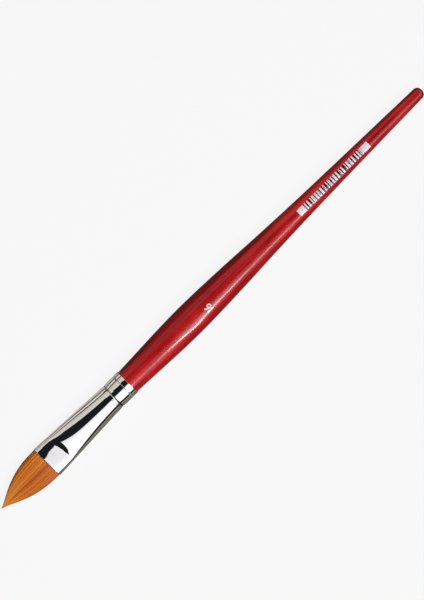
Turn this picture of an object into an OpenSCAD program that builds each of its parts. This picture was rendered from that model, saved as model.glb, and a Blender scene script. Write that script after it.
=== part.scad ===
// Pointed oval wash brush: a turned and lacquered wooden handle, a metal ferrule
// that is flattened at its mouth and crimped at its rim, and a pointed tuft of
// synthetic filaments that is tied and set in glue inside the ferrule.
// Sizes are in millimetres. The brush lies along X with its tip towards -X, its
// flat sides up and down, and the belly of its handle on the plane Z = 0.
// Stations called u run along the axis from the ferrule's mouth towards the handle,
// and stations called s run along the axis from the ferrule's rim towards the tail.

/* [Tuft] */
// Length of the filaments outside the ferrule
tuft_len = 23.1; // [16:0.1:32]
// Filaments across the width of the tuft
tuft_columns = 40; // [38:1:45]
// Filaments through the thickness of the tuft
tuft_rows = 8; // [8:1:10]
// Share of its cell that a filament fills at mid length
filament_fill = 0.8; // [0.5:0.05:0.9]
// Share of the tuft's length by which the outermost filaments fall short of the tip
side_shortfall = 0.14; // [0.05:0.01:0.3]
// How far each narrow side of the tuft swells out just outside the mouth
swell = 0.1; // [0:0.01:0.37]
// Thickness of the slice of bound hair that the filaments grow from
slice_t = 0.8; // [0.5:0.1:1.2]
// Furthest bend of the tuft to either flat side, in degrees
flex_max = 30; // [15:1:35]

/* [Ferrule] */
// Outside diameter of the tube at the handle
ferrule_d = 10.2; // [8.5:0.1:11.5]
// Wall of the tube
ferrule_wall = 0.25; // [0.15:0.05:0.4]
// Width of the flattened mouth
mouth_w = 13.2; // [11:0.1:15]
// Thickness of the flattened mouth
mouth_t = 5; // [4:0.1:6]
// How square the flattened mouth is, where 2 is an ellipse
mouth_power = 6; // [2.4:0.1:8]
// Length of the parallel flats behind the mouth
flat_len = 7.6; // [6:0.1:10]
// Length over which the flats run out into the round tube
ramp_len = 22.6; // [19:0.1:28]
// Length of the round tube that holds the handle
socket_len = 10.1; // [9:0.1:14]
// Distance from the rim to the middle of the deep crimp
crimp_at = 7.1; // [6:0.1:7.6]
// Depth of the deep crimp
crimp_depth = 0.3; // [0.1:0.02:0.5]
// Distance from the rim to the middle of the light crimp
light_crimp_at = 2.3; // [1.8:0.1:3.5]
// Depth of the light crimp
light_crimp_depth = 0.06; // [0.04:0.02:0.2]
// Width of each crimp along the tube
crimp_w = 1.7; // [1.2:0.1:2]

/* [Hair roots] */
// Depth of the hair roots behind the mouth
root_depth = 15; // [13:0.1:17]
// Length over which the bundle narrows
waist_run = 3; // [2:0.1:4]
// Distance from the ferrule's inner wall to the tied waist
waist_inset = 1.3; // [1.1:0.05:1.4]
// Thickness of the glue under the ends of the roots
glue_floor = 2.5; // [1:0.1:4]
// Diameter of the binding thread
thread_d = 0.4; // [0.3:0.05:0.45]
// Turns of the binding thread
thread_turns = 4; // [2:1:4]
// Step of the binding thread from turn to turn
thread_pitch = 0.9; // [0.86:0.02:1.1]
// Length of tied waist left bare before and after the binding thread
tie_margin = 1.2; // [0.8:0.1:1.6]

/* [Handle] */
// Length of the handle behind the ferrule
handle_len = 146.6; // [125:0.1:190]
// Largest diameter of the handle
belly_d = 11.8; // [10.4:0.1:14]
// Distance from the rim to the largest diameter
belly_at = 30.8; // [25:0.1:37]
// Diameter where the belly runs into the taper
shoulder_d = 10.8; // [9:0.1:11.5]
// Distance from the belly to the shoulder
shoulder_run = 19; // [15:0.1:23]
// Diameter part-way down the taper
waist_d = 8.9; // [7.5:0.1:10]
// Distance from the shoulder to that part of the taper
waist_step = 19.4; // [15:0.1:23]
// Diameter where the taper eases into the long tail
neck_d = 7.25; // [6:0.05:8.5]
// Distance from there to the neck
neck_step = 21; // [16:0.1:25]
// Diameter of the tail just before its rounded end
tail_d = 4.5; // [3.5:0.1:6]
// Length of the rounded end
dome_len = 2.1; // [1:0.1:3]
// Thickness of the lacquer coat
lacquer_t = 0.25; // [0.1:0.05:0.4]
// Depth to which the lacquered handle goes into the ferrule
lacquer_tuck = 1; // [0.5:0.1:1.5]
// Length of the tapered nose in front of the tenon
nose_len = 5; // [3:0.1:6]
// Diameter at the front of the nose
nose_d = 6; // [4:0.1:6.5]

/* [Fits] */
// Gap left between pieces that are glued or pressed together
bond_gap = 0.03; // [0.02:0.01:0.05]
// Gap left round pieces that move or that thread lies between
free_gap = 0.12; // [0.1:0.01:0.2]

/* [Hidden] */

// Facets round a lofted piece, round the thread and along one turn of it
loft_sides = 48;
thread_sides = 6;
turn_rings = 24;
// Steps along the ramp, the roots, a crimp, the handle and its rounded end
ramp_steps = 12;
root_steps = 4;
crimp_steps = 8;
handle_steps = 72;
dome_steps = 10;

// Stations along the axis from the mouth
round_at = flat_len + ramp_len;
ferrule_len = round_at + socket_len;
overall_len = tuft_len + ferrule_len + handle_len;

// Where the mouth's centre lies, with the origin under the middle of the brush
mouth_x = tuft_len - overall_len / 2;
axis_z = max(belly_d, ferrule_d, mouth_t) / 2;

// Radii of the fitted pieces in the socket
socket_r = ferrule_d / 2 - ferrule_wall;
rim_r = socket_r - bond_gap;
tenon_r = rim_r - lacquer_t - bond_gap;

// Depth of both crimps at a station from the rim, negative into the ferrule
function dent(s, at, depth) =
  abs(s + at) < crimp_w / 2 ? depth * (1 + cos(360 * (s + at) / crimp_w)) / 2 : 0;
function crimps(s) =
  dent(s, crimp_at, crimp_depth) + dent(s, light_crimp_at, light_crimp_depth);

// Stations along the socket, close together on the crimps
function crimp_stations(at) =
  [for (i = [0:crimp_steps]) -at + crimp_w * (i / crimp_steps - 1 / 2)];
socket_stations = concat(
  [-socket_len], crimp_stations(crimp_at), crimp_stations(light_crimp_at)
);
tucked_stations = [for (s = socket_stations) if (s > -lacquer_tuck) s];
glued_stations = [for (s = socket_stations) if (s < -lacquer_tuck - bond_gap) s];

// Handle profile: stations from the rim with diameters, joined by smooth cubics
handle_marks = [
  [0, 2 * rim_r],
  [belly_at, belly_d],
  [belly_at + shoulder_run, shoulder_d],
  [belly_at + shoulder_run + waist_step, waist_d],
  [belly_at + shoulder_run + waist_step + neck_step, neck_d],
  [handle_len - dome_len, tail_d]
];
last_mark = len(handle_marks) - 1;
function mark_slope(i) =
  let (
    a = handle_marks[max(i - 1, 0)],
    m = handle_marks[i],
    b = handle_marks[min(i + 1, last_mark)],
    turns_back = (m[1] - a[1]) * (b[1] - m[1]) < 0
  )
  turns_back ? 0 : (b[1] - a[1]) / (b[0] - a[0]);
function mark_before(s, i = 0) =
  i >= last_mark - 1 || s < handle_marks[i + 1][0] ? i : mark_before(s, i + 1);
function cubic(a, b, slope_a, slope_b, f) =
  let (run = b[0] - a[0])
  a[1] * (1 + 2 * f) * (1 - f) * (1 - f) + b[1] * f * f * (3 - 2 * f)
  + run * slope_a * f * (1 - f) * (1 - f) - run * slope_b * f * f * (1 - f);
function handle_r(s) =
  let (
    i = mark_before(s),
    a = handle_marks[i],
    b = handle_marks[i + 1],
    f = (s - a[0]) / (b[0] - a[0])
  )
  cubic(a, b, mark_slope(i), mark_slope(i + 1), f) / 2;

// Outline of the bare or coated handle behind the rim, from the rim to the tail's pole
dome_power = 0.75;
function handle_outline(inset) = concat(
  [
    for (i = [0:handle_steps])
      let (s = (handle_len - dome_len) * i / handle_steps)
      [handle_r(s) - inset, s]
  ],
  [
    for (i = [1:dome_steps - 1])
      let (a = 90 * i / dome_steps)
      [(tail_d / 2 - inset) * pow(cos(a), dome_power),
       handle_len - dome_len + (dome_len - inset) * sin(a)]
  ],
  [[0, handle_len - inset]]
);

// Width, thickness and squareness of the ferrule's outside at a station from the mouth
ramp_ease = 1.5;
square_ease = 7;
function ramp_left(u) = 1 - max(0, min(1, (u - flat_len) / ramp_len));
function ferrule_w(u) = mouth_w + (ferrule_d - mouth_w) * min(1, u / round_at);
function ferrule_t(u) = ferrule_d + (mouth_t - ferrule_d) * pow(ramp_left(u), ramp_ease);
function ferrule_power(u) = 2 + (mouth_power - 2) * pow(ramp_left(u), square_ease);

// Point on a flat-sided oval, and the ring of such points inside the ferrule's outside
function oval_point(a, w, t, power) = [
  w / 2 * sign(cos(a)) * pow(abs(cos(a)), 2 / power),
  t / 2 * sin(a)
];
function section_point(a, u, inset) =
  oval_point(a, ferrule_w(u) - 2 * inset, ferrule_t(u) - 2 * inset, ferrule_power(u));
function oval_ring(u, inset) = [
  for (i = [0:loft_sides - 1])
    let (p = section_point(360 * i / loft_sides, u, inset))
    [u, p[0], p[1]]
];

// Skin over rings of points: closed on itself, or closed by a face at each end
module skin(rings, closed = false) {
  n = len(rings[0]);
  m = len(rings);
  sides = [
    for (j = [0:closed ? m - 1 : m - 2], i = [0:n - 1])
      let (a = j * n, b = (j + 1) % m * n, k = (i + 1) % n)
      each [[a + i, b + i, b + k], [a + i, b + k, a + k]]
  ];
  ends = closed ? [] : [
    [for (i = [0:n - 1]) i],
    [for (i = [0:n - 1]) m * n - 1 - i]
  ];
  polyhedron([for (ring = rings) each ring], concat(sides, ends));
}

// Puts a piece drawn from the mouth, or turned about Z from the rim, onto the brush's axis
module from_mouth() {
  translate([mouth_x, 0, axis_z]) children();
}
module turned_from_rim() {
  translate([mouth_x + ferrule_len, 0, axis_z]) rotate([0, 90, 0]) rotate_extrude() children();
}

// Turned wooden handle with the tenon that goes into the ferrule
module handle_core() {
  tenon = [for (s = socket_stations) [tenon_r - crimps(s), s]];
  color("burlywood") turned_from_rim() polygon(concat(
    [[0, -socket_len - nose_len], [nose_d / 2, -socket_len - nose_len]],
    tenon,
    handle_outline(lacquer_t + bond_gap)
  ));
}

// Glossy coat over the whole of the handle that shows, tucked into the ferrule
module lacquer_coat() {
  outside = concat(
    [[rim_r - crimps(-lacquer_tuck), -lacquer_tuck]],
    [for (s = tucked_stations) [rim_r - crimps(s), s]],
    handle_outline(0)
  );
  inside = concat(
    [[rim_r - crimps(-lacquer_tuck) - lacquer_t, -lacquer_tuck]],
    [for (s = tucked_stations) [rim_r - crimps(s) - lacquer_t, s]],
    handle_outline(lacquer_t)
  );
  last = len(inside) - 1;
  color("firebrick") turned_from_rim()
    polygon(concat(outside, [for (i = [0:last]) inside[last - i]]));
}

// Film of glue between the tenon and the ferrule
module handle_glue() {
  end = -lacquer_tuck - bond_gap;
  stations = concat(glued_stations, [end]);
  last = len(stations) - 1;
  color("khaki") turned_from_rim() polygon(concat(
    [for (s = stations) [socket_r - bond_gap - crimps(s), s]],
    [for (i = [0:last]) [tenon_r + bond_gap - crimps(stations[last - i]), stations[last - i]]]
  ));
}

// Seamless metal tube: flattened at the mouth, round and crimped at the handle
module ferrule() {
  front = concat([0], [for (i = [0:ramp_steps - 1]) flat_len + ramp_len * i / ramp_steps]);
  back = [for (s = concat(socket_stations, [0])) ferrule_len + s];
  stations = concat(front, back);
  last = len(stations) - 1;
  color("silver") from_mouth() skin(concat(
    [for (u = stations) oval_ring(u, crimps(u - ferrule_len))],
    [
      for (i = [0:last])
        let (u = stations[last - i])
        oval_ring(u, ferrule_wall + crimps(u - ferrule_len))
    ]
  ), closed = true);
}

// Stations of the tied waist at the end of the hair roots
waist_end = root_depth - thread_turns * thread_pitch - 2 * tie_margin;
waist_at = waist_end - waist_run;
thread_at = waist_end + tie_margin;

// Stations from one to another, with one at the end of the ferrule's flats
function steps(from, to, count) = [for (i = [0:count]) from + (to - from) * i / count];
function steps_by_flats(from, to, count) =
  flat_len > from + 2 * free_gap && flat_len < to
  ? concat(steps(from, flat_len - free_gap, count), steps(flat_len, to, count))
  : steps(from, to, 2 * count);

// How far the narrowing of the hair bundle has come at a station from the mouth
function narrowing(u) = max(0, min(1, (u - waist_at) / waist_run));
function bundle_inset(u) =
  ferrule_wall + bond_gap + (waist_inset - bond_gap) * narrowing(u);
// Room for the thread between the tied waist and the glue round it
thread_room = thread_d + 2 * free_gap;
function cavity_inset(u) = bundle_inset(u) - thread_room * narrowing(u);

// The fixed end of the hair: the bundle inside the ferrule, clear of the tuft's bend
tuft_half = (mouth_t / 2 - ferrule_wall) * cos(flex_max) - free_gap;
root_start = slice_t * cos(flex_max) + tuft_half * sin(flex_max) + 2 * free_gap;
module hair_roots() {
  stations = steps_by_flats(root_start, root_depth, root_steps);
  color("sienna") from_mouth() skin([for (u = stations) oval_ring(u, bundle_inset(u))]);
}

// Points along the middle of the binding thread, wound round the waist of the bundle
thread_points = [
  for (i = [0:thread_turns * turn_rings])
    let (
      a = 360 * i / turn_rings,
      u = thread_at + thread_pitch * i / turn_rings,
      p = section_point(a, u, bundle_inset(u) - free_gap - thread_d / 2)
    )
    [u, p[0], p[1]]
];
thread_gap = min([
  for (i = [0:(thread_turns - 1) * turn_rings], j = [i + turn_rings / 2:thread_turns * turn_rings])
    norm(thread_points[i] - thread_points[j])
]) - thread_d;
echo(least_gap_between_thread_turns = thread_gap);

// Thread that ties the hair bundle, one unbroken winding
module binding_thread() {
  rings = [
    for (i = [0:thread_turns * turn_rings])
      let (a = 360 * i / turn_rings)
      [
        for (k = [0:thread_sides - 1])
          let (b = 360 * k / thread_sides, out = cos(b) * thread_d / 2)
          thread_points[i] + [sin(b) * thread_d / 2, out * cos(a), out * sin(a)]
      ]
  ];
  color("ivory") from_mouth() skin(rings);
}

// Cup of cured glue round and under the tied end of the hair
module hair_glue() {
  brim = waist_at + waist_run / 2;
  floor_at = root_depth + bond_gap;
  base = root_depth + glue_floor;
  down = steps_by_flats(brim, floor_at, root_steps);
  last = len(down) - 1;
  color("goldenrod") from_mouth() skin(concat(
    [for (i = [0:last]) oval_ring(down[last - i], cavity_inset(down[last - i]))],
    [for (u = concat(down, [base])) oval_ring(u, ferrule_wall + bond_gap)]
  ));
}

// Tuft outline: share of its width and thickness that is left at a share of its length
point_left = 0.06;
width_powers = [2.6, 1.35];
thickness_powers = [2, 1.15];
function share_left(f, powers) =
  point_left + (1 - point_left) * pow(1 - pow(f, powers[0]), powers[1]);
function width_left(f) = share_left(f, width_powers);
function thickness_left(f) = share_left(f, thickness_powers);

// Grid of points across the foot of the tuft, within a flat-sided oval cut level
foot_w = mouth_w - 2 * ferrule_wall - 2 * free_gap;
foot_level = 0.93;
function foot_point(i, j) =
  let (
    level = foot_level * (2 * j / tuft_rows - 1),
    half_w = foot_w / 2 * pow(1 - level * level, 1 / mouth_power)
  )
  [half_w * (2 * i / tuft_columns - 1), tuft_half * level];

// Point of the tuft: a foot point carried along towards the tip, fuller outside the mouth
function swelling(f) = 1 + swell / (foot_w / 2) * min(1, f / filament_rings[0]);
function tuft_point(p, f) = [
  -tuft_len * f,
  p[0] * width_left(f) * swelling(f),
  p[1] * thickness_left(f) * swelling(f)
];

// Filaments end a little short of the tip, by more towards the outside of the tuft
stagger = 0.05;
// Turn from one filament to the next that spreads the stagger without a pattern
golden_angle = 137.5;
// Where a three-sided filament's middle lies in its cell
cell_middle = 1 / 3;
function filament_reach(i, j) =
  let (
    across = 2 * (i + cell_middle) / tuft_columns - 1,
    through = 2 * (j + cell_middle) / tuft_rows - 1,
    unevenness = abs(sin(golden_angle * (i + tuft_columns * j)))
  )
  1 - side_shortfall * max(across * across, through * through) - stagger * unevenness
  * max(abs(across), abs(through));
filament_rings = [0.06, 0.4, 0.72];

// Pointed three-sided filaments that grow from every other cell of one slice of hair
module bristles() {
  columns = tuft_columns;
  rows = tuft_rows;
  per_filament = 3 * len(filament_rings) + 1;
  grid = [for (j = [0:rows], i = [0:columns]) foot_point(i, j)];
  edge = concat(
    [for (i = [0:columns - 1]) i],
    [for (j = [0:rows - 1]) j * (columns + 1) + columns],
    [for (i = [0:columns - 1]) rows * (columns + 1) + columns - i],
    [for (j = [0:rows - 1]) (rows - j) * (columns + 1)]
  );
  edges = len(edge);
  under = len(grid);
  hub = under + edges;
  first = hub + 1;
  strands = [
    for (j = [0:rows - 1], i = [0:columns - 1])
      let (
        corner = [foot_point(i, j), foot_point(i + 1, j), foot_point(i, j + 1)],
        middle = (corner[0] + corner[1] + corner[2]) / 3,
        reach = filament_reach(i, j)
      )
      each concat(
        [
          for (r = [0:len(filament_rings) - 1], c = corner)
            let (
              f = filament_rings[r],
              fill = filament_fill * (1 - pow(f, 3))
            )
            tuft_point(middle + (c - middle) * fill, f * reach)
        ],
        [tuft_point(middle, reach)]
      )
  ];
  points = concat(
    [for (p = grid) [0, p[0], p[1]]],
    [for (k = edge) [slice_t, grid[k][0], grid[k][1]]],
    [[slice_t, 0, 0]],
    strands
  );
  gaps = [
    for (j = [0:rows - 1], i = [0:columns - 1])
      let (a = j * (columns + 1) + i)
      [a + 1, a + columns + 1, a + columns + 2]
  ];
  walls = [
    for (k = [0:edges - 1])
      let (n = (k + 1) % edges)
      each [[edge[k], edge[n], under + n], [edge[k], under + n, under + k]]
  ];
  base = [for (k = [0:edges - 1]) [under + k, under + (k + 1) % edges, hub]];
  sides = [
    for (j = [0:rows - 1], i = [0:columns - 1])
      let (
        a = j * (columns + 1) + i,
        start = first + per_filament * (j * columns + i),
        rings = concat(
          [[a, a + 1, a + columns + 1]],
          [for (r = [0:len(filament_rings) - 1]) [for (c = [0:2]) start + 3 * r + c]]
        ),
        tip = start + per_filament - 1,
        top = len(rings) - 1
      )
      each concat(
        [
          for (r = [0:top - 1], c = [0:2])
            let (n = (c + 1) % 3, lower = rings[r], upper = rings[r + 1])
            each [[lower[c], upper[c], upper[n]], [lower[c], upper[n], lower[n]]]
        ],
        [for (c = [0:2]) [rings[top][c], tip, rings[top][(c + 1) % 3]]]
      )
  ];
  color("chocolate") from_mouth() polyhedron(points, concat(gaps, walls, base, sides));
}

handle_core();
lacquer_coat();
handle_glue();
ferrule();
hair_roots();
binding_thread();
hair_glue();
bristles();
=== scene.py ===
import math
import random
import bpy
from mathutils import Matrix, Vector


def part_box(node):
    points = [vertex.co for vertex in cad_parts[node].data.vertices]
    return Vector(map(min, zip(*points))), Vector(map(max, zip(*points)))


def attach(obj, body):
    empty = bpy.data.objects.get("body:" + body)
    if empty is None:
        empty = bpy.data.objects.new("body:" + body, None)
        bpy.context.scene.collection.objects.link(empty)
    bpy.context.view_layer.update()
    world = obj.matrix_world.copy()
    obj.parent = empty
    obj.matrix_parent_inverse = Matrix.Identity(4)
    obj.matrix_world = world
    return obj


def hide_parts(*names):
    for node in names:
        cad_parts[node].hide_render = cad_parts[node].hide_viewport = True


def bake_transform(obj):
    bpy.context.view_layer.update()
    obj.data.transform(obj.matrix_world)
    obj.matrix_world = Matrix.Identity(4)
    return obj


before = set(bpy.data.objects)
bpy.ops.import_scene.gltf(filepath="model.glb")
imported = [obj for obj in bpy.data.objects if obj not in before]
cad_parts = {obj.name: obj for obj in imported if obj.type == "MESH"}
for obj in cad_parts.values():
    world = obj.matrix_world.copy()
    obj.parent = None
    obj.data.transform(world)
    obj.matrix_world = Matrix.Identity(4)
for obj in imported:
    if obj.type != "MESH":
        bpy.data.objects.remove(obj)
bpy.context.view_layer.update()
mm = 0.001

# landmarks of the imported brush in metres, and two of its lengths in mm
ferruleLow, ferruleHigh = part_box("ferrule")
mouthX, rimX = ferruleLow.x, ferruleHigh.x
axisZ = (ferruleLow.z + ferruleHigh.z) / 2
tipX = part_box("bristles")[0].x
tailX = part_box("lacquer_coat")[1].x
ferruleLength = (rimX - mouthX) / mm
tuftLength = (mouthX - tipX) / mm
print("frame loaded, brush is", round((tailX - tipX) / mm, 1), "mm long")


def clamp(value):
    return min(1.0, max(0.0, value))


def smooth(value, low, high):
    share = clamp((value - low) / (high - low))
    return share * share * (3 - 2 * share)


# camera above the flat side, with the brush slanted across the frame
cameraSet = {
    "lens": 135.0,               # mm
    "sensor": 36.0,              # mm
    "picture": (424, 600),       # pixels
    "pixelsPerMm": 2.825,
    "slant": 44.81,              # degrees, brush axis in the picture
    "roll": 7.3,                 # degrees round the brush's axis, to the upper narrow side
    "brushMiddle": (211.25, 298.95),  # pixel of the brush's middle
}


def placeCamera(s):
    bpy.ops.object.camera_add()
    camera = bpy.context.object
    camera.name = "photoCamera"
    camera.data.lens = s["lens"]
    camera.data.sensor_width = s["sensor"]
    pixel = mm / s["pixelsPerMm"]
    height = s["picture"][1] * pixel * s["lens"] / s["sensor"]
    turn = Matrix.Rotation(-math.radians(s["roll"]), 3, "X")
    turn = turn @ Matrix.Rotation(-math.radians(s["slant"]), 3, "Z")
    right, up, back = turn.transposed()
    place = Vector(((tipX + tailX) / 2, 0, axisZ)) + back * height
    place += right * (s["picture"][0] / 2 - s["brushMiddle"][0]) * pixel
    place += up * (s["brushMiddle"][1] - s["picture"][1] / 2) * pixel
    camera.location = place
    camera.rotation_euler = turn.to_euler()
    bpy.context.scene.camera = camera


placeCamera(cameraSet)
print("camera placed")


# small helpers for the node trees
def node(tree, kind, **settings):
    made = tree.nodes.new(kind)
    for key, value in settings.items():
        setattr(made, key, value)
    return made


def wire(tree, source, socket):  # links an output, or sets a plain value
    if isinstance(source, bpy.types.NodeSocket):
        tree.links.new(source, socket)
    else:
        socket.default_value = source


def calc(tree, operation, *values):
    made = node(tree, "ShaderNodeMath", operation=operation)
    for value, socket in zip(values, made.inputs):
        wire(tree, value, socket)
    return made.outputs[0]


def times(tree, first, *others):
    for other in others:
        first = calc(tree, "MULTIPLY", first, other)
    return first


def between(tree, value, low, high):  # 1 inside the range, 0 outside
    above = calc(tree, "GREATER_THAN", value, low)
    return times(tree, above, calc(tree, "LESS_THAN", value, high))


def fade(tree, value, start, end):  # 0 at the start, 1 at the end, smooth between
    made = node(tree, "ShaderNodeMapRange", interpolation_type="SMOOTHSTEP")
    wire(tree, value, made.inputs["Value"])
    made.inputs["From Min"].default_value = start
    made.inputs["From Max"].default_value = end
    return made.outputs["Result"]


def edge(tree, value, place, soft):  # rises at the place, or falls there if soft is negative
    return fade(tree, value, place - soft, place + soft)


def bell(tree, value, middle, width):  # 1 at the middle, falling away smoothly
    away = calc(tree, "DIVIDE", calc(tree, "SUBTRACT", value, middle), width)
    return calc(tree, "EXPONENT", times(tree, away, away, -1.0))


def mixColour(tree, share, first, second):  # the node's colours are its sockets 6, 7 and 2
    made = node(tree, "ShaderNodeMix", data_type="RGBA")
    wire(tree, share, made.inputs[0])
    for colour, socket in ((first, made.inputs[6]), (second, made.inputs[7])):
        wire(tree, colour if isinstance(colour, bpy.types.NodeSocket) else (*colour, 1), socket)
    return made.outputs[2]


def shades(tree, value, stops):  # colours along a value, from stops of (place, colour)
    low, high = stops[0][0], stops[-1][0]
    share = node(tree, "ShaderNodeMapRange")
    wire(tree, value, share.inputs["Value"])
    share.inputs["From Min"].default_value = low
    share.inputs["From Max"].default_value = high
    made = node(tree, "ShaderNodeValToRGB")
    ramp = made.color_ramp.elements
    while len(ramp) < len(stops):
        ramp.new(1.0)
    for stop, (place, colour) in zip(ramp, stops):
        stop.position = (place - low) / (high - low)
        stop.color = (*colour, 1)
    wire(tree, share.outputs["Result"], made.inputs["Fac"])
    return made.outputs["Color"]


def parts(tree, vector):  # x, y and z
    made = node(tree, "ShaderNodeSeparateXYZ")
    wire(tree, vector, made.inputs[0])
    return made.outputs


def objectPlace(tree):
    return node(tree, "ShaderNodeTexCoord").outputs["Object"]


def stretched(tree, scale):  # object coordinates, squeezed or stretched for grain
    made = node(tree, "ShaderNodeMapping")
    made.inputs["Scale"].default_value = scale
    wire(tree, objectPlace(tree), made.inputs["Vector"])
    return made.outputs["Vector"]


def grain(tree, scale, detail):  # noise, with its scale along x, y and z
    made = node(tree, "ShaderNodeTexNoise")
    made.inputs["Scale"].default_value = 1.0
    made.inputs["Detail"].default_value = detail
    wire(tree, stretched(tree, scale), made.inputs["Vector"])
    return made.outputs["Fac"]


def roughen(tree, shader, value, least, added):
    wire(tree, calc(tree, "MULTIPLY_ADD", value, added, least), shader.inputs["Roughness"])


def bump(tree, shader, height, depth, strength):  # depth in mm
    made = node(tree, "ShaderNodeBump")
    made.inputs["Distance"].default_value = depth * mm
    made.inputs["Strength"].default_value = strength
    wire(tree, height, made.inputs["Height"])
    wire(tree, made.outputs["Normal"], shader.inputs["Normal"])


def dimmed(colour, share):
    return tuple(share * c for c in colour)


def newMaterial(name):
    made = bpy.data.materials.new(name)
    made.use_nodes = True
    return made, made.node_tree, made.node_tree.nodes["Principled BSDF"]


def dress(piece, material):
    piece.data.materials.clear()
    piece.data.materials.append(material)


# small helpers for modelling
def deselect():
    bpy.ops.object.select_all(action="DESELECT")


def editAll():
    bpy.ops.object.mode_set(mode="EDIT")
    bpy.ops.mesh.select_all(action="SELECT")


def faceOutwards():
    editAll()
    bpy.ops.mesh.normals_make_consistent(inside=False)


def smoothTo(angle):  # degrees, sharper edges stay crisp
    bpy.ops.object.shade_smooth_by_angle(angle=math.radians(angle))


def finishMesh(name, angle):
    bpy.ops.object.mode_set(mode="OBJECT")
    piece = bpy.context.object
    piece.name = name
    piece.data.name = name
    bpy.ops.object.transform_apply()
    smoothTo(angle)
    return piece


def thicken(piece, thickness):  # a wall inwards from the surface, in mm
    wall = piece.modifiers.new("wall", "SOLIDIFY")
    wall.thickness = thickness * mm
    wall.offset = -1
    bpy.ops.object.modifier_apply(modifier=wall.name)


def extrudeRings(stations, sides):  # open tube of unit rings along X
    bpy.ops.mesh.primitive_circle_add(
        vertices=sides, radius=1, location=(0, 0, 0), rotation=(0, math.pi / 2, 0))
    bpy.ops.object.transform_apply()
    editAll()
    bpy.ops.transform.translate(value=(stations[0], 0, 0))
    for last, here in zip(stations, stations[1:]):
        bpy.ops.mesh.extrude_region_move(TRANSFORM_OT_translate={"value": (here - last, 0, 0)})
    bpy.ops.object.mode_set(mode="OBJECT")
    return bpy.context.object


def ovalPoint(angle, halfWidth, halfThickness, power):
    c, s = math.cos(angle), math.sin(angle)
    return halfWidth * math.copysign(abs(c) ** (2 / power), c), halfThickness * s


# the turned handle: lacquer skin with a printed stripe label and a size number
handleSet = {
    # mm from the rim, diameter there
    "marks": [(0, 9.64), (30.8, 11.8), (49.8, 10.8), (69.2, 8.9), (90.2, 7.25), (144.5, 4.5)],
    "dome": 2.1,                 # mm, rounded tail
    "domePower": 0.75,
    "domeSteps": 12,
    "tuck": 1.0,                 # mm, hidden inside the ferrule
    "skin": 0.25,                # mm
    "stations": 110,
    "turns": 128,                # steps round the lathe
    "weld": 0.002,               # mm, points closer than this become one
    "smoothing": 50,             # degrees
    "deepRed": (0.35, 0.006, 0.009),
    "brightRed": (0.68, 0.020, 0.017),
    "streaks": ((11, 540, 540), 2.0),  # scale and detail of the noise
    "mottle": ((90, 160, 160), 2.0),
    "shares": (0.65, 0.35),      # of the streaks and the mottle
    "redRange": (0.36, 0.68),    # noise at which the red is deep, and bright
    "redRough": (0.16, 0.08),    # least roughness, and what the noise adds
    "ripple": ((500, 900, 900), 2.0),
    "rippleDepth": (0.002, 0.05),  # mm, strength
    "gloss": {"Specular IOR Level": 0.06, "Coat Weight": 1.0,
              "Coat Roughness": 0.05, "Coat IOR": 1.34},
    "print": (0.84, 0.80, 0.88),
    "label": (84.7, 119.5),      # mm from the rim
    "labelBlock": 3.1,           # mm, plain ends of the label
    "labelAcross": (-1.28, 1.32),  # mm from the axis
    "barInk": (0.12, 0.004, 0.009),
    "bars": [(1.31, 0.24, 0.72), (0.86, 0.0, 0.26)],  # mm from bar to bar, least and most inked
    "number": "16",
    "numberAt": (37.2, 40.2),    # mm from the rim
    "numberAcross": (-2.17, 0.38),  # mm from the axis
    "numberPrint": (0.90, 0.79, 0.77),
    "numberSpacing": 0.8,
    "numberBold": 0.018,         # swelling of the strokes, share of the type's size
    "numberCurve": 6,            # steps along each curve of a figure
    "numberCuts": 24,            # cuts that let it bend round the handle
    "numberSmoothing": 30,       # degrees
    "printLift": 0.012,          # mm
    "film": 0.9,                 # thickness of the print, share of its lift
    "wear": ((900, 900, 900), 4.0),
    "wornTone": 0.86,
    "wornRange": (0.35, 0.6),
    "wornRough": (0.2, 0.2),
}


def handleRadius(s, at):  # mm from the rim, smooth through the marks
    marks = s["marks"]
    last = len(marks) - 1

    def slope(i):
        a, m, b = marks[max(i - 1, 0)], marks[i], marks[min(i + 1, last)]
        turnsBack = (m[1] - a[1]) * (b[1] - m[1]) < 0
        return 0 if turnsBack else (b[1] - a[1]) / (b[0] - a[0])

    i = max(k for k in range(last) if k == 0 or at >= marks[k][0])
    a, b = marks[i], marks[i + 1]
    run = b[0] - a[0]
    f = (at - a[0]) / run
    return (a[1] * (1 + 2 * f) * (1 - f) ** 2 + b[1] * f * f * (3 - 2 * f)
            + run * slope(i) * f * (1 - f) ** 2 - run * slope(i + 1) * f * f * (1 - f)) / 2


def handleProfile(s):  # mm from the rim, radius
    taper, endWidth = s["marks"][-1]
    points = [(-s["tuck"], s["marks"][0][1] / 2)]
    for i in range(s["stations"] + 1):
        at = taper * i / s["stations"]
        points.append((at, handleRadius(s, at)))
    for i in range(1, s["domeSteps"] + 1):
        a = math.pi / 2 * i / s["domeSteps"]
        points.append((taper + s["dome"] * math.sin(a),
                       endWidth / 2 * max(0, math.cos(a)) ** s["domePower"]))
    return points


def turnHandle(s):
    profile = [(rimX + at * mm, axisZ + radius * mm) for at, radius in handleProfile(s)]
    bpy.ops.mesh.primitive_plane_add(size=mm, location=(profile[0][0], 0, profile[0][1]))
    bpy.ops.object.transform_apply()
    editAll()
    bpy.ops.mesh.merge(type="CENTER")  # one point, drawn out along the profile
    for last, here in zip(profile, profile[1:]):
        bpy.ops.mesh.extrude_region_move(
            TRANSFORM_OT_translate={"value": (here[0] - last[0], 0, here[1] - last[1])})
    editAll()
    bpy.ops.mesh.spin(steps=s["turns"], angle=2 * math.pi, center=(0, 0, axisZ), axis=(1, 0, 0))
    editAll()
    bpy.ops.mesh.remove_doubles(threshold=s["weld"] * mm)
    faceOutwards()
    piece = finishMesh("lacqueredHandle", s["smoothing"])
    thicken(piece, s["skin"])
    return piece


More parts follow.
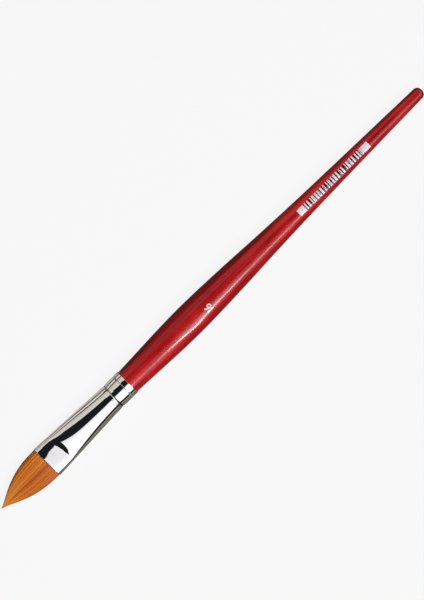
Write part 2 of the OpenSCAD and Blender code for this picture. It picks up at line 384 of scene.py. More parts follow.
def clearCoat(s, shader):  # gloss over the red and over the print
    for socket, value in s["gloss"].items():
        shader.inputs[socket].default_value = value


def labelColour(tree, s, x):  # white, with dark bars of uneven width between plain ends
    start, end = (rimX + at * mm for at in s["label"])
    block = s["labelBlock"] * mm
    bar = 0.0
    for pitch, least, most in s["bars"]:
        along = calc(tree, "DIVIDE", x, pitch * mm)
        dice = node(tree, "ShaderNodeTexWhiteNoise", noise_dimensions="1D")
        wire(tree, calc(tree, "FLOOR", along), dice.inputs["W"])
        inked = calc(tree, "MULTIPLY_ADD", dice.outputs["Value"], most - least, least)
        dark = calc(tree, "LESS_THAN", calc(tree, "FRACT", along), inked)
        bar = calc(tree, "MAXIMUM", bar, dark)
    bar = times(tree, bar, between(tree, x, start + block, end - block))
    return mixColour(tree, bar, s["print"], s["barInk"])


def lacquerFinish(s):
    made, tree, shader = newMaterial("redLacquer")
    x, y, z = parts(tree, objectPlace(tree))
    patch = times(tree, between(tree, x, *(rimX + at * mm for at in s["label"])),
                  between(tree, y, *(at * mm for at in s["labelAcross"])),
                  calc(tree, "GREATER_THAN", z, axisZ))
    # long faint streaks and a little mottling in the red
    streak = grain(tree, *s["streaks"])
    mottle = grain(tree, *s["mottle"])
    streakShare, mottleShare = s["shares"]
    depth = calc(tree, "MULTIPLY_ADD", mottle, mottleShare, times(tree, streak, streakShare))
    red = mixColour(tree, fade(tree, depth, *s["redRange"]), s["deepRed"], s["brightRed"])
    wire(tree, mixColour(tree, patch, red, labelColour(tree, s, x)), shader.inputs["Base Color"])
    roughen(tree, shader, mottle, *s["redRough"])
    clearCoat(s, shader)
    bump(tree, shader, grain(tree, *s["ripple"]), *s["rippleDepth"])
    return made


def spread(values, low, high):  # the same values, moved and stretched to lie from low to high
    least, run = min(values), max(values) - min(values)
    return [low + (high - low) * (value - least) / run for value in values]


def printNumber(s):  # size number, printed across the handle
    bpy.ops.object.text_add(rotation=(0, 0, math.pi / 2))
    words = bpy.context.object.data
    words.body = s["number"]
    words.resolution_u = s["numberCurve"]
    words.offset = s["numberBold"]
    words.space_character = s["numberSpacing"]
    bpy.ops.object.convert(target="MESH")
    bpy.ops.object.transform_apply()
    piece = bpy.context.object
    xs = spread([point.co.x for point in piece.data.vertices], *s["numberAt"])
    ys = spread([point.co.y for point in piece.data.vertices], *s["numberAcross"])
    for point, x, y in zip(piece.data.vertices, xs, ys):
        point.co.x = rimX + x * mm
        point.co.y = y * mm
    low, high = s["numberAcross"]
    for i in range(1, s["numberCuts"]):
        editAll()
        cut = (low + (high - low) * i / s["numberCuts"]) * mm
        bpy.ops.mesh.bisect(plane_co=(0, cut, 0), plane_no=(0, 1, 0))
    editAll()
    bpy.ops.mesh.quads_convert_to_tris()
    bpy.ops.object.mode_set(mode="OBJECT")
    for point in piece.data.vertices:  # lay it on the round surface
        radius = (handleRadius(s, (point.co.x - rimX) / mm) + s["printLift"]) * mm
        point.co.z = axisZ + math.sqrt(radius ** 2 - point.co.y ** 2)
    piece = finishMesh("sizeNumber", s["numberSmoothing"])
    thicken(piece, s["film"] * s["printLift"])
    smoothTo(s["numberSmoothing"])  # again, for the edges of the film
    return piece


def printFinish(s):
    made, tree, shader = newMaterial("whitePrint")
    worn = grain(tree, *s["wear"])
    grey = dimmed(s["numberPrint"], s["wornTone"])
    white = mixColour(tree, fade(tree, worn, *s["wornRange"]), grey, s["numberPrint"])
    wire(tree, white, shader.inputs["Base Color"])
    roughen(tree, shader, worn, *s["wornRough"])
    clearCoat(s, shader)
    return made


handle = turnHandle(handleSet)
dress(handle, lacquerFinish(handleSet))
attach(handle, "brush")
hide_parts("lacquer_coat")
figures = printNumber(handleSet)
dress(figures, printFinish(handleSet))
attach(figures, "brush")
print("handle turned and printed")


# the ferrule: one seamless tube, flattened at the mouth, creased and crimped
ferruleSet = {
    "diameter": 10.2,            # mm at the handle
    "wall": 0.25,                # mm
    "mouth": (13.2, 5.0),        # mm, width and thickness
    "mouthPower": 3.7,           # squareness at the mouth, where 2 is an ellipse
    "flatPower": 5.4,            # squareness along the flats
    "squareEase": 7.0,           # how soon the section turns oval along the ramp
    "lipRun": (0.8, 4.0),        # mm from the mouth over which the flats square up
    "flat": 7.6,                 # mm of flats behind the mouth
    "ramp": 22.6,                # mm from flats to round
    "ease": 1.5,
    "lip": 0.25,                 # mm, rounding at the mouth
    "creaseAt": 6.35,            # mm from the mouth, where the flats step up
    "creaseSlant": 1.1,          # mm, how much later its far end starts
    "creaseRun": (0.01, 2.35),   # mm, length of the step where it runs out and where it is full
    "creaseCurve": 2.4,          # how late along the step it gets shorter
    "creaseSlope": 0.27,
    "creaseEnds": (0.39, -0.59),  # shares of the half width, where it is full and runs out
    "creaseFade": 2.5,           # how soon the step is lost along the ramp
    "crimps": [(7.1, 0.16, 0.14), (2.3, 0.015, 0.07)],  # mm from the rim, hollow, groove in it
    "hollowWidth": 3.8,          # mm
    "grooveWidth": 0.65,         # mm
    "creaseZone": 2.2,           # mm past the flats, as far as the crease needs close stations
    "crimpZone": 9.2,            # mm from the rim, as far as the crimps need them
    "steps": (0.05, 1.0, 0.07, 1.0, 0.08),  # mm apart on lip, flats, crease, ramp and crimps
    "sides": 192,
    "smoothing": 50,             # degrees
    "metal": (0.90, 0.885, 0.86),
    "tarnish": ((160, 240, 240), 5.0),  # scale and detail of the noise
    "tarnishTone": 0.93,
    "tarnishRange": (0.45, 0.75),
    "smear": ((60, 900, 900), 4.0),
    "rough": (0.02, 0.04),       # least roughness, and what the smears add
    "drawn": ((40, 2600, 2600), 2.0),  # faint lines along the drawn tube
    "drawnDepth": (0.0008, 0.5),  # mm, strength
    # painted shade in the crimp grooves, standing in for the dark they mirror
    "paintedShade": (0.03, 0.028, 0.025),
    "paintedShadeDepth": 0.14,          # mm, a groove this deep gets the full painted shade
    "paintedShadeFrom": -0.6,           # mm from the axis, below which all of the groove gets painted shade
}


def ferruleStations(s):  # mm from the mouth, closer together on the lip, crease and crimps
    ends = (s["lip"], s["creaseAt"], s["flat"] + s["creaseZone"], ferruleLength - s["crimpZone"],
            ferruleLength)
    points = [0.0]
    for start, end, step in zip((0, *ends), ends, s["steps"]):
        count = round((end - start) / step)
        points += [start + (end - start) * (i + 1) / count for i in range(count)]
    return points


def crimpDepth(s, back):  # mm from the rim
    depth = 0.0
    for at, hollow, groove in s["crimps"]:
        for width, deep in ((s["hollowWidth"], hollow), (s["grooveWidth"], groove)):
            away = (back - at) / width
            if abs(away) < 0.5:
                depth += deep * (1 + math.cos(2 * math.pi * away)) / 2
    return depth


def creaseRise(s, across, u):  # the flats end in a step, a wedge that runs out past the middle
    full, out = s["creaseEnds"]
    share = clamp((across - full) / (out - full))
    start = s["creaseAt"] + s["creaseSlant"] * share
    least, most = s["creaseRun"]
    run = max(least, most * (1 - share ** s["creaseCurve"]))
    return s["creaseSlope"] * min(run, max(0.0, u - start))


def ferrulePoint(s, u, angle):  # mm from the mouth; y and z in metres from the axis
    left = 1 - clamp((u - s["flat"]) / s["ramp"])
    width = s["mouth"][0] + (s["diameter"] - s["mouth"][0]) * min(1, u / (s["flat"] + s["ramp"]))
    thick = s["diameter"] + (s["mouth"][1] - s["diameter"]) * left ** s["ease"]
    power = 2 + (s["flatPower"] - 2) * left ** s["squareEase"]
    power -= (s["flatPower"] - s["mouthPower"]) * (1 - smooth(u, *s["lipRun"]))
    inset = crimpDepth(s, ferruleLength - u)
    if u < s["lip"]:
        inset += s["lip"] * (1 - math.sqrt(max(0.0, 1 - (1 - u / s["lip"]) ** 2)))
    y, z = ovalPoint(angle, width / 2 - inset, thick / 2 - inset, power)
    rise = creaseRise(s, 2 * y / width, u) * left ** s["creaseFade"]
    return y * mm, z * (1 + 2 * rise / thick) * mm


def rollFerrule(s):
    piece = extrudeRings([mouthX + u * mm for u in ferruleStations(s)], s["sides"])
    for point in piece.data.vertices:
        angle = math.atan2(point.co.z, point.co.y)
        y, z = ferrulePoint(s, (point.co.x - mouthX) / mm, angle)
        point.co.y = y
        point.co.z = axisZ + z
    faceOutwards()
    piece = finishMesh("platedFerrule", s["smoothing"])
    thicken(piece, s["wall"])
    return piece


def paintedShadeShare(tree, s):  # painted shade, a dark line where a groove would mirror dark: in the half of each groove that faces the tip, lower down in all of it
    x, y = parts(tree, objectPlace(tree))[:2]
    low = calc(tree, "LESS_THAN", y, s["paintedShadeFrom"] * mm)
    reach = s["grooveWidth"] / 2 * mm
    paintedShade = 0.0
    for at, _, groove in s["crimps"]:
        middle = rimX - at * mm
        half = between(tree, x, middle, middle + reach)
        whole = between(tree, x, middle - reach, middle + reach)
        paintedDark = calc(tree, "MAXIMUM", half, times(tree, low, whole))
        paintedShade = calc(tree, "MULTIPLY_ADD", paintedDark, groove / s["paintedShadeDepth"], paintedShade)
    return paintedShade


def platingFinish(s):
    made, tree, shader = newMaterial("brightPlating")
    tarnish = fade(tree, grain(tree, *s["tarnish"]), *s["tarnishRange"])
    colour = mixColour(tree, tarnish, s["metal"], dimmed(s["metal"], s["tarnishTone"]))
    # painted shade: the grooves turn dark and lose their metal
    paintedShade = paintedShadeShare(tree, s)
    wire(tree, mixColour(tree, paintedShade, colour, s["paintedShade"]), shader.inputs["Base Color"])
    wire(tree, calc(tree, "SUBTRACT", 1.0, paintedShade), shader.inputs["Metallic"])
    shader.inputs["Specular IOR Level"].default_value = 0.0  # so that the painted shade has no gloss
    roughen(tree, shader, grain(tree, *s["smear"]), *s["rough"])
    bump(tree, shader, grain(tree, *s["drawn"]), *s["drawnDepth"])
    return made


ferrule = rollFerrule(ferruleSet)
dress(ferrule, platingFinish(ferruleSet))
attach(ferrule, "brush")
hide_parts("ferrule")
print("ferrule rolled")


# the tuft: a ridged heart under loose tapered filaments that meet in a point
tuftSet = {
    "columns": 420,              # ridges round the heart
    "rings": 40,
    "heartEnd": 0.995,           # share of the length
    "heartSmoothing": 60,        # degrees
    "strands": 1200,
    "strandSmoothing": 180,      # degrees
    "sides": 3,                  # of each filament
    "steps": 16,                 # along it
    "stepEase": 0.9,             # below 1, steps get shorter towards the tip
    "radius": 0.035,             # mm
    "thinning": (0.6, 1.6),      # share of the radius lost at the tip, and how late
    "roots": 1.3,                # mm inside the mouth
    "inset": 0.27,               # mm inside the ferrule's outside
    "heart": (0.03, 0.045),      # mm below the outline, tops and bottoms of the ridges
    "layers": (0.025, 0.035),    # mm below the outline, where the loose filaments lie
    "reach": (0.92, 1.0),        # where filaments end, share of the length
    "reachEase": 0.5,            # below 1, more of them end near the tip
    "powers": (3.7, 3.0),        # squareness at the mouth and towards the tip
    "powerRun": 0.6,             # share of the length over which it changes
    "outline": (2.6, 1.35),      # powers of its width towards the tip
    "profile": (2.0, 1.15),      # powers of its thickness
    "tipShare": 0.012,           # share of the section left at the tip
    "bulge": (0.05, 0.2),        # how much thicker outside the mouth, and where that is full
    "tipDrift": (-0.34, 4),      # mm, the point leans to one narrow side, and how late
    "wave": (0.02, 7),           # mm, and radians along the length
    "arcSteps": 3000,            # for measuring round the mouth
    "locks": [(24, 0.18), (64, 0.36), (140, 0.3), (420, 0.14)],  # clumps of like tone, and weight
    "partings": [(34, -0.42), (30, 0.42)],  # single dark and pale lines, and how far they differ
    "partingWidth": (1, 5),      # ridges, the last not reached
    "flatness": 0.6,             # how far filaments stand out, against their width
    "softness": 0.5,             # how steep the narrow sides look to the light
    "evenSides": (0.5, 0.9),     # steepness over which filaments are shaded as one surface
    "stray": 0.16,               # how far single filaments differ in tone
    "paintedSideLight": (0.16, 3),       # painted light on the upper narrow side, painted shade on the lower; power
    "tipTone": (0.6, 2.5),       # how much paler the tip is, power
    "rootTone": (0.14, 4),       # and the root
    "rootShade": 0.35,           # mm of shade at the mouth
    "seed": 11,
    "shadeHair": (0.16, 0.035, 0.006),
    "darkHair": (0.38, 0.068, 0.006),
    "hair": (0.57, 0.132, 0.010),
    "lightHair": (0.78, 0.31, 0.050),
    "fleck": ((260, 2200, 2200), 3.0),  # scale and detail of the noise
    "fleckWeight": 0.15,
    "toneWeight": (0.85, -0.03),  # share of the tone, and a shift
    "darkRange": (0.05, 0.5),    # tone at which the hair is dark, and plain
    "lightRange": (0.5, 1.0),    # and plain, and light
    "rough": (0.3, 0.2),         # least roughness, and what the flecks add
    "specular": 0.12,
    "bendEnd": 27,               # mm from the mouth, where the bend is complete
}


def tuftSection(s, angle, depth, f):  # half width and thickness in mm, squareness, place on them
    g = clamp(f)
    width, thick = (s["tipShare"] + (1 - s["tipShare"]) * (1 - g ** a) ** b
                    for a, b in (s["outline"], s["profile"]))
    added, full = s["bulge"]
    thick *= 1 + added * smooth(g, 0.0, full)
    square, rounder = s["powers"]
    power = square + (rounder - square) * smooth(g, 0, s["powerRun"])
    across, up = ovalPoint(angle, 1.0, 1.0, square)
    rise = math.copysign(math.sqrt(max(0.0, 1 - abs(across) ** power)), up)
    halfWidth, halfThick = (size / 2 - s["inset"] - depth for size in ferruleSet["mouth"])
    return halfWidth * width, halfThick * thick, power, across, rise


def tuftPoint(s, angle, depth, f):  # depth in mm, f runs from the mouth, 0, to the tip, 1
    halfWidth, halfThick, _, across, rise = tuftSection(s, angle, depth, f)
    drift, late = s["tipDrift"]
    y = across * halfWidth + drift * clamp(f) ** late
    return mouthX - tuftLength * f * mm, y * mm, axisZ + rise * halfThick * mm


def tuftOut(s, angle, f):  # which way the tuft's surface faces
    halfWidth, halfThick, power, across, rise = tuftSection(s, angle, 0.0, f)
    y = power * math.copysign(abs(across) ** (power - 1), across) / halfWidth
    return Vector((0, y, 2 * rise / halfThick)).normalized()


def writeHair(mesh, tones, outs):  # tone and outward direction of each point
    tone = mesh.attributes.new("hairTone", "FLOAT", "POINT")
    tone.data.foreach_set("value", tones)
    out = mesh.attributes.new("hairOut", "FLOAT_VECTOR", "POINT")
    out.data.foreach_set("vector", [part for vector in outs for part in vector])


def evenAngles(s, count):  # angles that lie evenly round the mouth
    fine = [2 * math.pi * i / s["arcSteps"] for i in range(s["arcSteps"] + 1)]
    ring = [Vector(ovalPoint(a, *ferruleSet["mouth"], s["powers"][0])) for a in fine]
    walked = [0.0]
    for last, here in zip(ring, ring[1:]):
        walked.append(walked[-1] + (here - last).length)
    angles, i = [], 0
    for k in range(count):
        goal = walked[-1] * (k + 0.5) / count
        while walked[i + 1] < goal:
            i += 1
        part = (goal - walked[i]) / (walked[i + 1] - walked[i])
        angles.append(fine[i] + (fine[i + 1] - fine[i]) * part)
    return angles


def toneRound(s, rng):  # tone of each ridge round the tuft, in broad and fine locks
    tones = [0.0] * s["columns"]
    for count, weight in s["locks"]:
        row = [rng.random() for _ in range(count)]
        tones = [tone + weight * row[c * count // s["columns"]] for c, tone in enumerate(tones)]
    for count, change in s["partings"]:
        for _ in range(count):
            c = rng.randrange(s["columns"])
            for k in range(c, c + rng.randrange(*s["partingWidth"])):
                tones[k % s["columns"]] += change
    return tones


def localTone(s, tone, angle, f):
    f = clamp(f)
    (tip, tipPower), (root, rootPower) = s["tipTone"], s["rootTone"]
    # the side term is painted light on the upper narrow side and painted shade on the lower
    side, paintedSidePower = s["paintedSideLight"]
    ends = tip * f ** tipPower + root * (1 - f) ** rootPower
    return tone + side * math.cos(angle) ** paintedSidePower + ends


def shapeHeart(s, rng, tones):
    first = -s["roots"] / tuftLength
    shares = [first + (s["heartEnd"] - first) * i / s["rings"] for i in range(s["rings"] + 1)]
    piece = extrudeRings([mouthX - tuftLength * f * mm for f in shares], s["columns"])
    angles = evenAngles(s, s["columns"])
    depths = [rng.uniform(*s["heart"]) for _ in angles]
    values, outs = [], []
    for point in piece.data.vertices:
        f = (mouthX - point.co.x) / mm / tuftLength
        turn = math.atan2(point.co.z, point.co.y) / (2 * math.pi)
        c = round(turn * s["columns"]) % s["columns"]
        point.co = tuftPoint(s, angles[c], depths[c], f)
        values.append(localTone(s, tones[c], angles[c], f))
        outs.append(tuftOut(s, angles[c], f))
    editAll()
    bpy.ops.mesh.fill_holes(sides=0)
    faceOutwards()
    piece = finishMesh("tuftHeart", s["heartSmoothing"])
    writeHair(piece.data, values, outs)
    return piece


def growStrands(s, rng, tones):
    hidden = s["roots"] / tuftLength
    shortest, longest = s["reach"]
    lost, late = s["thinning"]
    swing, waves = s["wave"]
    sides, steps = s["sides"], s["steps"]
    points, faces, values, outs = [], [], [], []
    for k, angle in enumerate(evenAngles(s, s["strands"])):
        depth = rng.uniform(*s["layers"])
        reach = shortest + (longest - shortest) * rng.random() ** s["reachEase"]
        tone = tones[k * s["columns"] // s["strands"]] + s["stray"] * (rng.random() - 0.5)
        phase = rng.uniform(0, 2 * math.pi)
        out = Vector((0, math.cos(angle), math.sin(angle)))
        side = Vector((0, -math.sin(angle), math.cos(angle)))
        base = len(points)
        for j in range(steps + 1):
            f = -hidden + (reach + hidden) * (j / steps) ** s["stepEase"]
            g = max(0, f)
            x, y, z = tuftPoint(s, angle, depth, f)
            y += swing * mm * g * (1 - g) * math.sin(phase + waves * f)
            thickness = s["radius"] * mm * (1 - lost * g ** late)
            for c in range(sides):
                a = 2 * math.pi * c / sides  # one edge points outwards
                lift = out * s["flatness"] * math.cos(a)
                points.append(Vector((x, y, z)) + (lift + side * math.sin(a)) * thickness)
                values.append(localTone(s, tone, angle, f))
                outs.append(tuftOut(s, angle, f))
        for j in range(steps):
            a, b = base + j * sides, base + (j + 1) * sides
            for c in range(sides):
                d = (c + 1) % sides
                faces.append((a + c, b + c, b + d, a + d))
        faces.append(tuple(base + c for c in range(sides)))
        top = base + steps * sides
        faces.append(tuple(top + c for c in reversed(range(sides))))
    made = bpy.data.meshes.new("filaments")
    made.from_pydata(points, [], faces)
    writeHair(made, values, outs)
    piece = bpy.data.objects.new("filaments", made)
    bpy.context.collection.objects.link(piece)
    deselect()
    bpy.context.view_layer.objects.active = piece
    piece.select_set(True)
    faceOutwards()
    return finishMesh("filaments", s["strandSmoothing"])


def hairNormal(tree, s):  # light sinks in, so narrow sides are shaded evenly and less steeply
    out = node(tree, "ShaderNodeAttribute", attribute_name="hairOut").outputs["Vector"]
    steep = calc(tree, "ABSOLUTE", parts(tree, out)[1])
    even = node(tree, "ShaderNodeMix", data_type="VECTOR")  # its vectors are sockets 4, 5 and 1
    wire(tree, fade(tree, steep, *s["evenSides"]), even.inputs[0])
    wire(tree, node(tree, "ShaderNodeNewGeometry").outputs["Normal"], even.inputs[4])
    wire(tree, out, even.inputs[5])
    soft = node(tree, "ShaderNodeVectorMath", operation="MULTIPLY")
    wire(tree, even.outputs[1], soft.inputs[0])
    wire(tree, (1.0, s["softness"], 1.0), soft.inputs[1])
    unit = node(tree, "ShaderNodeVectorMath", operation="NORMALIZE")
    wire(tree, soft.outputs["Vector"], unit.inputs[0])
    return unit.outputs["Vector"]


def hairFinish(s):
    made, tree, shader = newMaterial("goldenHair")
    tone = node(tree, "ShaderNodeAttribute", attribute_name="hairTone").outputs["Fac"]
    fleck = grain(tree, *s["fleck"])
    tone = calc(tree, "MULTIPLY_ADD", tone, *s["toneWeight"])
    tone = calc(tree, "MULTIPLY_ADD", fleck, s["fleckWeight"], tone)
    lower = mixColour(tree, fade(tree, tone, *s["darkRange"]), s["darkHair"], s["hair"])
    colour = mixColour(tree, fade(tree, tone, *s["lightRange"]), lower, s["lightHair"])
    x = parts(tree, objectPlace(tree))[0]
    root = fade(tree, x, mouthX - s["rootShade"] * mm, mouthX)
    wire(tree, mixColour(tree, root, colour, s["shadeHair"]), shader.inputs["Base Color"])
    roughen(tree, shader, fleck, *s["rough"])
    shader.inputs["Specular IOR Level"].default_value = s["specular"]
    wire(tree, hairNormal(tree, s), shader.inputs["Normal"])
    return made


def makeTuft(s):
    rng = random.Random(s["seed"])
    tones = toneRound(s, rng)
    heart = shapeHeart(s, rng, tones)
    strands = growStrands(s, rng, tones)
    deselect()
    for piece in (heart, strands):
        piece.select_set(True)
    bpy.context.view_layer.objects.active = strands
    bpy.ops.object.join()
    strands.name = "hairTuft"
    return strands


hairMaterial = hairFinish(tuftSet)
tuft = makeTuft(tuftSet)
dress(tuft, hairMaterial)
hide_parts("bristles")
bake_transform(tuft)
print("tuft grown,", len(tuft.data.polygons), "faces")


# pieces sealed inside keep their solids and get their own finishes
coreSet = {
    "paleWood": (0.76, 0.56, 0.35),
    "darkWood": (0.55, 0.36, 0.19),
    "rings": (25, 420, 420),     # scale of the wood's bands
    "ringWave": (5.0, 3.0),      # distortion and detail
    "pores": ((150, 3000, 3000), 4.0),  # scale and detail of the noise
    "poreRough": (0.5, 0.25),    # least roughness, and what the noise adds
    "poreDepth": (0.02, 0.6),    # mm, strength
    "glue": (0.80, 0.68, 0.42),
    "resin": (0.66, 0.42, 0.13),
    "cloud": ((500, 500, 500), 4.0),
    "cloudTone": 0.7,
    "cloudRange": (0.35, 0.65),
    "cloudDepth": (0.03, 0.5),
    "glueRough": (0.45, 0.3),
    "resinRough": (0.15, 0.3),
    "thread": (0.80, 0.76, 0.64),
    "ply": (2200, 2200, 2200),   # scale of the twisted plies
    "plyTone": 0.6,
    "plyDepth": (0.03, 0.8),
    "threadRough": 0.7,
}


def bands(tree, scale, direction):
    made = node(tree, "ShaderNodeTexWave", wave_type="BANDS", bands_direction=direction)
    made.inputs["Scale"].default_value = 1.0
    wire(tree, stretched(tree, scale), made.inputs["Vector"])
    return made


def woodFinish(s):
    made, tree, shader = newMaterial("turnedWood")
    rings = bands(tree, s["rings"], "Y")
    for socket, value in zip(("Distortion", "Detail"), s["ringWave"]):
        rings.inputs[socket].default_value = value
    colour = mixColour(tree, rings.outputs["Fac"], s["darkWood"], s["paleWood"])
    wire(tree, colour, shader.inputs["Base Color"])
    pores = grain(tree, *s["pores"])
    roughen(tree, shader, pores, *s["poreRough"])
    bump(tree, shader, pores, *s["poreDepth"])
    return made


def curedFinish(s, name, colour, rough):  # cured glue or resin, cloudy with small bubbles
    made, tree, shader = newMaterial(name)
    cloud = grain(tree, *s["cloud"])
    clear = fade(tree, cloud, *s["cloudRange"])
    mixed = mixColour(tree, clear, dimmed(colour, s["cloudTone"]), colour)
    wire(tree, mixed, shader.inputs["Base Color"])
    roughen(tree, shader, cloud, *rough)
    bump(tree, shader, cloud, *s["cloudDepth"])
    return made


def threadFinish(s):
    made, tree, shader = newMaterial("waxedThread")
    ply = bands(tree, s["ply"], "DIAGONAL").outputs["Fac"]
    colour = mixColour(tree, ply, dimmed(s["thread"], s["plyTone"]), s["thread"])
    wire(tree, colour, shader.inputs["Base Color"])
    shader.inputs["Roughness"].default_value = s["threadRough"]
    bump(tree, shader, ply, *s["plyDepth"])
    return made


driedGlue = curedFinish(coreSet, "driedGlue", coreSet["glue"], coreSet["glueRough"])
curedResin = curedFinish(coreSet, "curedResin", coreSet["resin"], coreSet["resinRough"])
dress(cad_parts["handle_core"], woodFinish(coreSet))
dress(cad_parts["handle_glue"], driedGlue)
dress(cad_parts["hair_glue"], curedResin)
dress(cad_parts["binding_thread"], threadFinish(coreSet))
dress(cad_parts["hair_roots"], hairMaterial)
print("inner pieces dressed")


# pale floor, a soft lamp, and the studio that bright surfaces mirror
# places in the studio are degrees from the view, plus to the upper narrow side or towards the tip
# an edge is a place and its softness, which is negative where the light ends there
studioSet = {
    "floorSize": 6,              # m
    "paper": 0.95,               # floor as the camera sees it
    "paperGlow": 0.93,           # share of that look that does not depend on the lamp
    "paperTone": 0.9,            # the share that does
    "paperRough": 0.9,
    "paperSpecular": 0.1,
    "bounce": 0.42,              # floor's own paleness for light thrown back
    "inLacquer": (0.11, 0.075, 0.075),  # floor as the handle mirrors it
    "inMetal": [                 # and the ferrule: mm from the axis, plus to the upper side; colour
        (-75, (0.34, 0.32, 0.29)), (-47, (0.185, 0.165, 0.125)), (5, (0.185, 0.165, 0.125)),
        (9, (0.60, 0.58, 0.55)), (12.6, (0.55, 0.53, 0.50)), (17, (0.15, 0.135, 0.115)),
        (24, (0.15, 0.135, 0.115)), (40, (0.80, 0.78, 0.74)), (240, (0.80, 0.78, 0.74)),
        (400, (0.02, 0.018, 0.015)), (600, (0.02, 0.018, 0.015))],
    "rimFade": (2, -3),          # mm past the rim, between the two
    "lampAngle": -13,            # degrees from overhead towards the lower narrow side
    "lampAway": 0.9,             # m
    "lampSize": 0.55,            # m
    "lampPower": 7.6,            # W
    "softBox": 0.92,             # strength of the broad soft light on the lower side
    "boxTint": (0.985, 0.98, 1.03),
    "boxEnd": (-77.5, 2),
    "boxLower": (-13, -30, 0.3),  # between which it gets brighter, and by how much
    "boxFar": (-3, 6, 0.7),      # between which it gets full, and its share over the handle
    "gap": (0.0095, 0.0125, 0.0155),  # the dark between that light and the wall
    "gapLower": (-12.6, -0.4),
    "gapUpper": (29.5, 1.0),
    "gapWiden": ((3.2, 5.8), (18, 14), 5.5),  # where it widens, where it narrows, by how much
    "tipGap": (29, -2),          # from overhead towards the tip, where it is dark again
    "tailLight": (-35, -3),      # past this the gap is lit as well
    "wall": [                    # pale wall on the upper side: place, colour
        (30, (0.76, 0.755, 0.755)), (45, (0.68, 0.65, 0.61)), (73, (0.58, 0.535, 0.46))],
    "wallEnd": (73.5, -1.5),
    "strip": (-47, 7.0, 4.0),    # bright strip along the brush: place, width, strength
    "stripBend": (0.8, 4.4, -14),  # middle, reach, how far it dips to the side
    "stripSpan": ((-12, 1), (9.5, 4.5)),  # over which it rises, and falls, along the brush
    "stripAdded": 30.0,          # strength added there
    "halo": (15, 16, 5.0),       # softer light beside the strip: place, width, strength
    "haloSide": (-16, -34),      # over which it rises, to the side
    "haloAhead": (6, 3.8),       # and along the brush
}


def floorPlane(s):
    bpy.ops.mesh.primitive_plane_add(size=s["floorSize"])
    floor = bpy.context.object
    floor.name = "paleFloor"
    made, tree, shader = newMaterial("palePaper")
    shader.inputs["Roughness"].default_value = s["paperRough"]
    shader.inputs["Specular IOR Level"].default_value = s["paperSpecular"]
    path = node(tree, "ShaderNodeLightPath")
    camera = path.outputs["Is Camera Ray"]
    paper = mixColour(tree, camera, [s["bounce"]] * 3, [s["paperTone"]] * 3)
    wire(tree, paper, shader.inputs["Base Color"])
    glossy, through = path.outputs["Is Glossy Ray"], path.outputs["Is Transmission Ray"]
    mirrored = calc(tree, "MAXIMUM", glossy, through)
    share = calc(tree, "MAXIMUM", mirrored, times(tree, camera, s["paperGlow"]))
    x, y = parts(tree, objectPlace(tree))[:2]
    byFerrule = fade(tree, x, *(rimX + at * mm for at in s["rimFade"]))
    inMetal = shades(tree, calc(tree, "DIVIDE", y, mm), s["inMetal"])
    inBoth = mixColour(tree, byFerrule, s["inLacquer"], inMetal)
    glow = node(tree, "ShaderNodeEmission")
    wire(tree, mixColour(tree, mirrored, [s["paper"]] * 3, inBoth), glow.inputs["Color"])
    blendIn = node(tree, "ShaderNodeMixShader")
    for source, socket in zip((share, shader.outputs[0], glow.outputs[0]), blendIn.inputs):
        wire(tree, source, socket)
    wire(tree, blendIn.outputs[0], tree.nodes["Material Output"].inputs["Surface"])
    dress(floor, made)


def hangLamp(s):  # broad soft lamp that shades the brush, kept out of its reflections
    angle = math.radians(s["lampAngle"])
    place = Vector((0, math.sin(angle), math.cos(angle))) * s["lampAway"]
    bpy.ops.object.light_add(type="AREA", location=place, rotation=(-angle, 0, 0))
    lamp = bpy.context.object
    lamp.name = "softLamp"
    lamp.data.shape = "DISK"
    lamp.data.size = s["lampSize"]
    lamp.data.energy = s["lampPower"]
    lamp.visible_glossy = False


def boxLight(tree, s, side, ahead, lean):
    lower = edge(tree, side, *s["gapLower"])
    box = calc(tree, "MAXIMUM", lower, edge(tree, lean, *s["tailLight"]))
    box = times(tree, box, edge(tree, side, *s["boxEnd"]), edge(tree, lean, *s["tipGap"]))
    start, full, far = s["boxFar"]
    level = calc(tree, "MULTIPLY_ADD", fade(tree, ahead, start, full), 1 - far, far)
    start, full, added = s["boxLower"]
    level = calc(tree, "MULTIPLY_ADD", fade(tree, side, start, full), added, level)
    return times(tree, box, level, s["softBox"])


def addStrip(tree, s, side, ahead, light):  # the bright strip and its halo
    place, width, strength = s["strip"]
    middle, reach, dip = s["stripBend"]
    bent = calc(tree, "MULTIPLY_ADD", bell(tree, ahead, middle, reach), dip, place)
    away = calc(tree, "SUBTRACT", side, bent)
    rise, fall = s["stripSpan"]
    hump = times(tree, fade(tree, ahead, *rise), fade(tree, ahead, *fall))
    bright = calc(tree, "MULTIPLY_ADD", hump, s["stripAdded"], strength)
    light = calc(tree, "MULTIPLY_ADD", bell(tree, away, 0.0, width), bright, light)
    beside, extent, glow = s["halo"]
    soft = times(tree, bell(tree, away, beside, extent), hump,
                 fade(tree, side, *s["haloSide"]), fade(tree, ahead, *s["haloAhead"]))
    return calc(tree, "MULTIPLY_ADD", soft, glow, light)


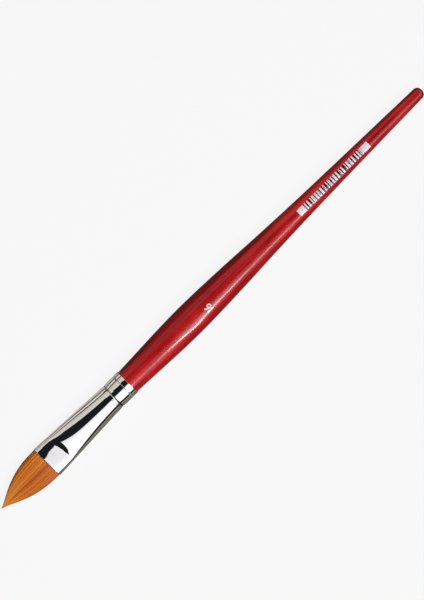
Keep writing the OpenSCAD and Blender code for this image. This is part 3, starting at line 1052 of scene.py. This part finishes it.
def wallShare(tree, s, side, ahead):  # 1 where the pale wall stands
    rise, fall, back = s["gapWiden"]
    widened = times(tree, fade(tree, ahead, *rise), fade(tree, ahead, *fall))
    moved = calc(tree, "MULTIPLY_ADD", widened, -back, side)
    return times(tree, edge(tree, moved, *s["gapUpper"]), edge(tree, side, *s["wallEnd"]))


def studioWorld(s):
    world = bpy.data.worlds.new("studio")
    bpy.context.scene.world = world
    world.use_nodes = True
    world.cycles_visibility.diffuse = False  # the lamp shades, the studio is mirrored
    tree = world.node_tree
    x, y, z = parts(tree, node(tree, "ShaderNodeTexCoord").outputs["Generated"])
    degree = 180 / math.pi
    side = calc(tree, "MULTIPLY_ADD", calc(tree, "ARCTAN2", y, z), degree, -cameraSet["roll"])
    towardsTip = times(tree, x, -1.0)
    ahead = times(tree, calc(tree, "ARCTAN2", towardsTip, z), degree)
    lean = times(tree, calc(tree, "ARCSINE", towardsTip), degree)
    light = addStrip(tree, s, side, ahead, boxLight(tree, s, side, ahead, lean))
    wall = wallShare(tree, s, side, ahead)
    studio, dim, paper = (node(tree, "ShaderNodeBackground") for _ in range(3))
    colour = mixColour(tree, wall, s["boxTint"], shades(tree, side, s["wall"]))
    wire(tree, colour, studio.inputs["Color"])
    wire(tree, calc(tree, "MAXIMUM", light, wall), studio.inputs["Strength"])
    dim.inputs["Color"].default_value = (*s["gap"], 1)
    paper.inputs["Color"].default_value = (*[s["paper"]] * 3, 1)
    mirrored = node(tree, "ShaderNodeAddShader")
    wire(tree, studio.outputs[0], mirrored.inputs[0])
    wire(tree, dim.outputs[0], mirrored.inputs[1])
    camera = node(tree, "ShaderNodeLightPath").outputs["Is Camera Ray"]
    choose = node(tree, "ShaderNodeMixShader")
    for source, socket in zip((camera, mirrored.outputs[0], paper.outputs[0]), choose.inputs):
        wire(tree, source, socket)
    wire(tree, choose.outputs[0], tree.nodes["World Output"].inputs["Surface"])


floorPlane(studioSet)
hangLamp(studioSet)
studioWorld(studioSet)
bpy.context.scene.view_settings.view_transform = "Standard"
print("studio lit")
